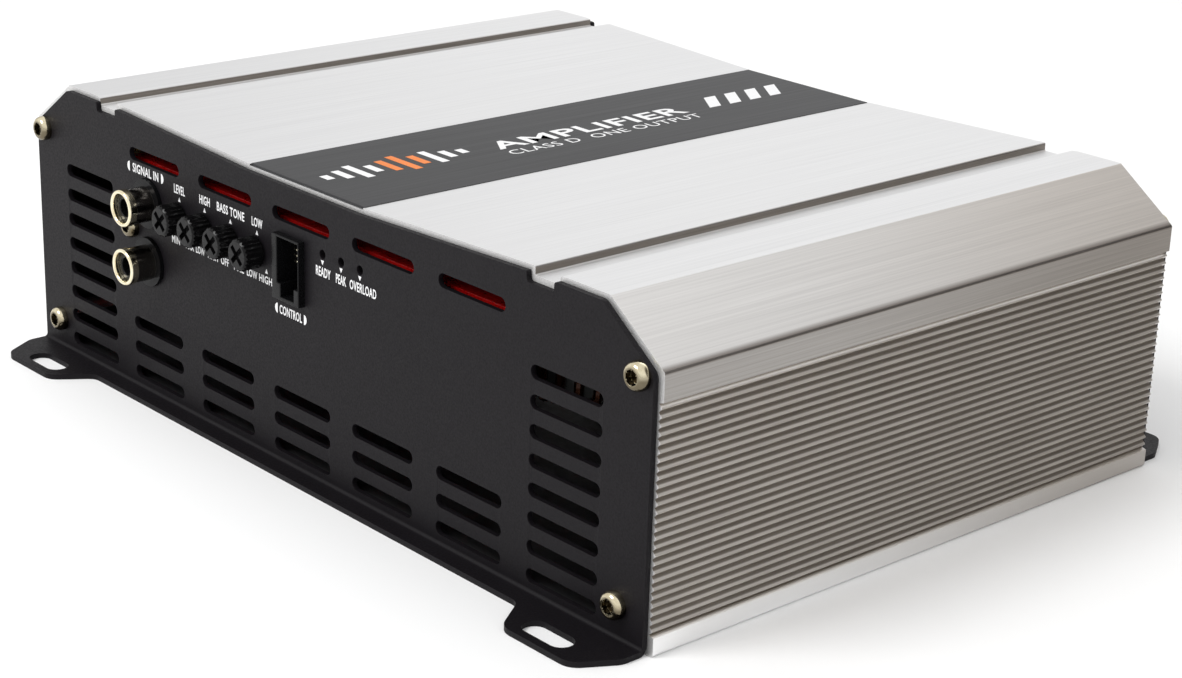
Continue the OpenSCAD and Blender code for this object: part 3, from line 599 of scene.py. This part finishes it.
def print_front():
    front_words("mark_input", "SIGNAL IN", -63.4, -53.0, 51.4, 53.5)
    front_bracket("mark_input_left", -64.6, 52.45, 2.3, -1)
    front_bracket("mark_input_right", -51.9, 52.45, 2.3, 1)
    titles = (("LEVEL", 4.2), ("HIGH", 4.0), ("BASS TONE", 10.2), ("LOW", 3.9))
    for (text, width), x, knob in zip(titles, KNOB_X, KNOBS):
        left = x + 0.4 - width / 2
        front_words("mark_title_" + knob, text, left, left + width, KNOB_Z + 5.3, KNOB_Z + 7.3)
        front_triangle("mark_point_" + knob, x + 0.3, KNOB_Z + 4.15, 1.0, True)
    ends = (("MIN", -48.1, -45.0), ("MAX", -42.6, -39.5), ("LOW", -38.7, -35.3), ("HIGH", -34.1, -30.3),
            ("OFF", -29.1, -26.1), ("FULL", -24.2, -20.5), ("LOW", -19.4, -15.6), ("HIGH", -14.9, -10.2))
    for i, (text, x0, x1) in enumerate(ends):
        front_words("mark_end_%d" % i, text, x0, x1, 39.1, 40.8)
    front_triangle("mark_end_point", -12.2, 41.9, 1.0, True)
    lights = (("READY", 7.55, 5.3, 10.3), ("PEAK", 13.8, 12.1, 15.5), ("OVERLOAD", 20.05, 16.7, 25.4))
    for i, (text, x, x0, x1) in enumerate(lights):
        front_words("mark_light_%d" % i, text, x0, x1, 46.0, 48.0)
        front_triangle("mark_light_point_%d" % i, x, 48.95, 1.0, False)
    front_words("mark_control", "CONTROL", -7.6, 0.3, 34.0, 36.0)
    front_bracket("mark_control_left", -8.3, 35.0, 2.2, -1)
    front_bracket("mark_control_right", 1.0, 35.0, 2.2, 1)


def print_label():
    """Words and plain sound-level bars along the label plate."""
    low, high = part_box("label_plate")
    top = high.z + INK_LIFT

    def spot(x, y):
        return Vector((x * MM, y * MM, top))

    def bar(name, y, wide, tall, lean, finish_name):
        outline = [(-wide / 2 - lean, -tall / 2), (wide / 2 - lean, -tall / 2),
                   (wide / 2 + lean, tall / 2), (-wide / 2 + lean, tall / 2)]
        outline = [(a * MM, b * MM) for a, b in outline]
        flat_shape(name, outline, spot(LABEL_MARK_X, y), ON_LABEL, "grey_label", finish_name=finish_name)

    wide = 56 * MM
    words("label_name", "AMPLIFIER", wide, 5.6 * MM, spot(-0.6, 4.0), ON_LABEL, "grey_label")
    words("label_line", "CLASS D  ONE OUTPUT", wide, 3.0 * MM, spot(5.4, 4.0), ON_LABEL, "grey_label",
          weight=0.0)
    for i, tall in enumerate((3.0, 6.0, 9.5, 5.0, 8.0, 11.0, 6.5, 9.0, 5.0, 3.0)):
        colour = "orange_ink" if i in (4, 5, 6) else "white_ink"
        bar("label_bar_%d" % i, -66.5 + i * 3.9, 1.9, tall, 0.0, colour)
    for i in range(4):
        bar("label_slash_%d" % i, 43 + i * 6.6, 3.6, 7.4, 2.6, "white_ink")


def rear_words(name, text, x0, x1, z0, z1):
    at = Vector(((x0 + x1) / 2 * MM, REAR_FACE + INK_LIFT, (z0 + z1) / 2 * MM))
    words(name, text, (x1 - x0) * MM, (z1 - z0) * MM, at, ON_REAR, "black_powder")


def print_rear():
    for i, (text, x, wide) in enumerate((("POWER", 30, 8.6), ("REMOTE", 43, 9.6), ("GROUND", 56, 9.6))):
        rear_words("mark_supply_%d" % i, text, x - wide / 2, x + wide / 2, 22.2, 24.2)
    rear_words("mark_speaker", "SPEAKER", -51.5, -36.5, 19.4, 21.2)
    for i, x in enumerate((-60.5, -49.5, -38.5, -27.5)):
        if i % 2:
            rear_words("mark_minus_%d" % i, "-", x - 0.9, x + 0.9, 23.1, 23.6)
        else:
            rear_words("mark_plus_%d" % i, "+", x - 0.9, x + 0.9, 22.4, 24.2)
    rear_words("mark_fuse", "FUSE", -3.2, 3.2, 24.8, 26.8)


print_front()
print_label()
print_rear()


# ---------------------------------------------------------------- jack rings

def turned(name, outline, axes, slot, replaced):
    """Closed outlines of (radius, y) turned round axes that run from front to rear."""
    bm = bmesh.new()
    for x, z in axes:
        ring = [bm.verts.new((x + r, y, z)) for r, y in outline]
        edges = [bm.edges.new((ring[i], ring[(i + 1) % len(ring)])) for i in range(len(ring))]
        bmesh.ops.spin(bm, geom=ring + edges, cent=(x, 0, z), axis=(0, 1, 0), angle=FULL_TURN, steps=64)
    piece = settle(name, mesh_from(bm, name), slot)
    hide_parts(replaced)
    return piece


def jack_rings():
    """Contact shells with a full round nose."""
    low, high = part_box("rca_shells")
    outer = (high.x - low.x) / 2
    bore, tube = 3.2 * MM, 3.6 * MM
    grip_end = low.y + 2.0 * MM
    middle, nose = (outer + bore) / 2, (outer - bore) / 2
    x = (low.x + high.x) / 2
    outline = [(middle - nose * math.cos(math.radians(a)), low.y + nose - nose * math.sin(math.radians(a)))
               for a in range(0, 181, 15)]
    outline += [(outer, grip_end - 0.2 * MM), (outer - 0.2 * MM, grip_end), (tube, grip_end), (tube, high.y),
                (bore, high.y)]
    turned("jack_rings", outline, [(x, low.z + outer), (x, high.z - outer)], "gold_contact", "rca_shells")


jack_rings()


# ---------------------------------------------------------------- windings and solder

def ring_winding(name, centre_xy, core_r, core_z, wire_d, turns):
    """A wire wound round and round a ring core, as one long spiral."""
    points_per_turn = 14
    squareness = 0.45
    half_w = (core_r[1] - core_r[0]) / 2 + wire_d * 0.5
    half_h = (core_z[1] - core_z[0]) / 2 + wire_d * 0.5
    mid_r = (core_r[0] + core_r[1]) / 2
    mid_z = (core_z[0] + core_z[1]) / 2
    curve = bpy.data.curves.new(name, "CURVE")
    curve.dimensions = "3D"
    curve.bevel_depth = wire_d / 2
    curve.bevel_resolution = 2
    spline = curve.splines.new("POLY")
    count = turns * points_per_turn
    spline.points.add(count - 1)
    spline.use_cyclic_u = True
    for i in range(count):
        around = FULL_TURN * i / count
        loop = FULL_TURN * i / points_per_turn
        c, s = math.cos(loop), math.sin(loop)
        r = mid_r + half_w * math.copysign(abs(c) ** squareness, c)
        z = mid_z + half_h * math.copysign(abs(s) ** squareness, s)
        x, y = centre_xy[0] + r * math.cos(around), centre_xy[1] + r * math.sin(around)
        spline.points[i].co = (x, y, z, 1)
    maker = bpy.data.objects.new(name + "_maker", curve)
    bpy.context.scene.collection.objects.link(maker)
    bpy.context.view_layer.update()
    mesh = bpy.data.meshes.new_from_object(maker.evaluated_get(bpy.context.evaluated_depsgraph_get()))
    bpy.data.objects.remove(maker)
    return mesh


def wind(name, cores, wire_d, turns):
    """Replaces a CAD winding with real turns of wire round each of its cores."""
    bm = bmesh.new()
    for at, core_r, core_z in cores:
        bm.from_mesh(ring_winding(name, at, core_r, core_z, wire_d, turns))
    mesh = bpy.data.meshes.new(name + "_wire")
    bm.to_mesh(mesh)
    bm.free()
    piece = settle(name + "_wire", mesh, "copper")
    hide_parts(name)


def wind_transformer():
    low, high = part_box("transformer_core")
    middle = ((low + high) / 2).to_2d()
    bore_r, outer_r = 9.5 * MM, (high.x - low.x) / 2
    wind("transformer_winding", [(middle, (bore_r, outer_r), (low.z, high.z))], wire_d=2.0 * MM, turns=30)


def wind_chokes():
    low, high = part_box("output_choke_cores")
    outer_r = (high.y - low.y) / 2
    middles = [Vector((x, low.y + outer_r)) for x in (low.x + outer_r, high.x - outer_r)]
    cores = [(at, (outer_r / 2, outer_r), (low.z, high.z)) for at in middles]
    wind("output_choke_windings", cores, wire_d=1.3 * MM, turns=22)


def solder_joints():
    """Cut leads in small cones of solder on the upper side of the board."""
    draw = random.Random(7)
    low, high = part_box("main_board")
    bm = bmesh.new()
    inset = 3 * MM
    spots = []
    for _ in range(260):
        x = draw.uniform(low.x + inset, high.x - inset)
        spots.append((x, draw.uniform(low.y + 3 * inset, high.y - inset)))
    for x in [low.x + 8 * MM + i * 5.1 * MM for i in range(36)]:
        spots.append((x + draw.uniform(-1, 1) * MM, low.y + draw.uniform(7, 10) * MM))
    for x, y in spots:
        size = draw.uniform(0.55, 0.95) * MM
        at = Matrix.Translation((x, y, high.z + size * 0.45))
        bmesh.ops.create_cone(bm, cap_ends=True, segments=8, radius1=size, radius2=size * 0.25,
                              depth=size * 0.95, matrix=at)
    settle("solder_joints", mesh_from(bm, "solder_joints"), "steel", "solder")


wind_transformer()
wind_chokes()
solder_joints()


# ---------------------------------------------------------------- floor, light and camera

def floor():
    bm = bmesh.new()
    bmesh.ops.create_grid(bm, x_segments=1, y_segments=1, size=4.0)
    mesh = bpy.data.meshes.new("floor")
    bm.to_mesh(mesh)
    bm.free()
    material, tree, shader = finish("pale_floor", (0.94, 0.94, 0.94), 0.8)
    tone = noise(tree, 3.0, 2.0)
    link(tree, mix(tree, tone, (0.93, 0.93, 0.93), (0.95, 0.95, 0.95)), shader, "Base Color")
    mesh.materials.append(material)
    piece = bpy.data.objects.new("floor", mesh)
    bpy.context.scene.collection.objects.link(piece)


def soft_box(name, at, aim, size, power):
    """A rectangular soft light at a place, turned to face a point."""
    lamp = bpy.data.lights.new(name, "AREA")
    lamp.shape = "RECTANGLE"
    lamp.size, lamp.size_y = size
    lamp.energy = power
    piece = bpy.data.objects.new(name, lamp)
    bpy.context.scene.collection.objects.link(piece)
    piece.location = at
    piece.rotation_euler = (Vector(aim) - Vector(at)).to_track_quat("-Z", "Y").to_euler()


def surroundings():
    """A pale studio, dark towards the right rear and a little greyer on the left."""
    world = bpy.data.worlds.new("studio")
    bpy.context.scene.world = world
    world.use_nodes = True
    tree = world.node_tree
    background = tree.nodes["Background"]
    direction = add(tree, "TexCoord").outputs["Generated"]

    def lobe(toward, start, full, depth):
        """How dark the surroundings are around one direction."""
        aim = Vector(toward).normalized()
        likeness = add(tree, "VectorMath", {0: direction, 1: aim}, operation="DOT_PRODUCT")
        return between(tree, likeness.outputs["Value"], start, full, 0.0, depth, smooth=True)

    right_rear = lobe((0.50, 0.80, 0.33), start=0.80, full=0.94, depth=1.0)
    left = lobe((-0.95, 0.2, 0.2), start=0.87, full=1.0, depth=0.45)
    color = mix(tree, right_rear, (1.0, 1.0, 1.0), (0.12, 0.11, 0.10))
    color = mix(tree, left, color, (0.3, 0.3, 0.3))
    tree.links.new(color, background.inputs["Color"])
    background.inputs["Strength"].default_value = 1.0


def camera():
    """Stands to the front right and a little above, turned a little about its own axis."""
    azimuth, roll = math.radians(47.62), math.radians(1.95)
    target = Vector((5.49, 0.92, 15.9)) * MM
    at = Vector((386.9, -347.1, 201.35)) * MM
    back = (at - target).normalized()
    right = Vector((math.cos(azimuth), math.sin(azimuth), 0))
    up = back.cross(right)
    turned_right = right * math.cos(roll) + up * math.sin(roll)
    turned_up = up * math.cos(roll) - right * math.sin(roll)
    lens = bpy.data.cameras.new("camera")
    lens.sensor_width = 36.0
    lens.lens = 74.2
    piece = bpy.data.objects.new("camera", lens)
    bpy.context.scene.collection.objects.link(piece)
    axes = Matrix((turned_right, turned_up, back)).transposed()
    piece.matrix_world = Matrix.Translation(at) @ axes.to_4x4()
    bpy.context.scene.camera = piece


floor()
surroundings()
soft_box("front_light", at=(-0.25, -0.85, 1.0), aim=(0, -0.05, 0.05), size=(0.5, 0.5), power=8)
camera()
bpy.context.scene.view_settings.view_transform = "Standard"
